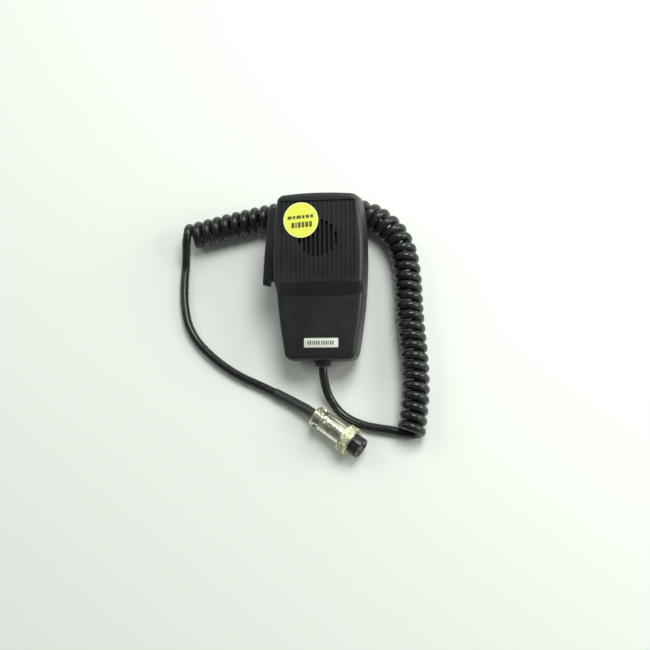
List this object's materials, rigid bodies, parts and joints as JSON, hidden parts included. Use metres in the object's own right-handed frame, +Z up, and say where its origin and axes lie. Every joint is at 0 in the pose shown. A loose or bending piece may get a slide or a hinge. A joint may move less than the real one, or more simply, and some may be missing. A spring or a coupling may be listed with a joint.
{
  "type": "hand microphone",
  "caption": "Palm-size radio hand microphone with side press-to-talk lever, ribbed grille, curly cord and metal screw-ring plug, leaning face up on its own cord.",
  "frame": {"origin": "middle of the case's footprint box, on the table that it lies on, the cord and plug left out", "axes": "+X to the right of the face, +Y from the cord end towards the grille end, +Z up from the table; the case leans 11.3 degrees, grille end raised"},
  "size_m": [0.1666, 0.1697, 0.0515],
  "materials": {
    "case_plastic": "fine moulded satin texture",
    "lever_plastic": "satin moulded plastic",
    "button_plastic": "satin moulded plastic",
    "gland_rubber": "dull rubber",
    "cord_jacket": "glossy soft vinyl",
    "sleeve_vinyl": "shrunk vinyl sleeve",
    "plug_nickel": "bright nickel plate",
    "ring_nickel": "knurled nickel plate",
    "plug_screw_steel": "plated steel",
    "washer_steel": "plated steel",
    "insert_plastic": "moulded thermoset",
    "contact_brass": "bare brass",
    "core_insulation": "coloured vinyl cores",
    "screen_cloth": "fine woven cloth",
    "foam": "soft foam",
    "capsule_metal": "drawn aluminium",
    "strap_steel": "plated steel strip",
    "screw_steel": "plated steel",
    "pin_steel": "ground steel",
    "spring_steel": "spring wire",
    "switch_plastic": "moulded switch body",
    "plunger_plastic": "white acetal",
    "sticker_vinyl": "yellow printed sticker",
    "label_paper": "off-white printed label"
  },
  "bodies": {
    "case": {"front_shell": "case_plastic", "back_shell": "case_plastic", "dust_screen": "screen_cloth", "capsule_gasket": "foam", "mic_capsule": "capsule_metal", "capsule_terminals": "contact_brass", "capsule_strap": "strap_steel", "capsule_strap_screws": "screw_steel", "ptt_pivot_pin": "pin_steel", "ptt_return_spring": "spring_steel", "switch_body": "switch_plastic", "switch_screws": "screw_steel", "switch_terminals": "contact_brass", "inner_leads": "core_insulation", "cord_inner_end": "cord_jacket", "cord_clamp": "strap_steel", "cord_clamp_screws": "screw_steel", "cord_gland": "gland_rubber", "case_screws": "screw_steel", "hang_button": "button_plastic", "hang_button_screw": "screw_steel", "round_sticker": "sticker_vinyl", "name_label": "label_paper", "cord_lead": "cord_jacket", "curly_cord": "cord_jacket", "cord_tail": "cord_jacket", "cord_sleeve": "sleeve_vinyl", "plug_barrel": "plug_nickel", "plug_clamp_saddle": "plug_nickel", "plug_clamp_screws": "plug_screw_steel", "plug_set_screw": "plug_screw_steel", "plug_insert": "insert_plastic", "plug_contacts": "contact_brass", "plug_leads": "core_insulation"},
    "lever": {"ptt_lever": "lever_plastic"},
    "plunger": {"switch_plunger": "plunger_plastic"},
    "ring_slider": {"ring_washer": "washer_steel"},
    "screw_ring": {"coupling_ring": "ring_nickel"}
  },
  "joints": [
    {"name": "ptt_press", "type": "hinge", "parent": "case", "child": "lever", "pos_m": [-0.0195, 0.03873, 0.03197], "axis": [0, -0.1959, 0.9806], "range_deg": [0, 6.5], "stiffness_Nm_per_rad": 0.3, "springref_deg": -5.73, "deforming": ["ptt_return_spring"]},
    {"name": "plunger_slide", "type": "slide", "parent": "case", "child": "plunger", "axis": [1, 0, 0], "range_m": [0, 0.0033]},
    {"name": "ring_slide", "type": "slide", "parent": "case", "child": "ring_slider", "axis": [0.8107, -0.5762, 0.1036], "range_m": [0, 0.0035]},
    {"name": "ring_turn", "type": "hinge", "parent": "ring_slider", "child": "screw_ring", "pos_m": [0.02083, -0.10093, 0.00939], "axis": [0.8107, -0.5762, 0.1036], "continuous": true}
  ],
  "couplings": [
    {"joint": "plunger_slide", "follows": "ptt_press", "m_per_rad": 0.028}
  ]
}
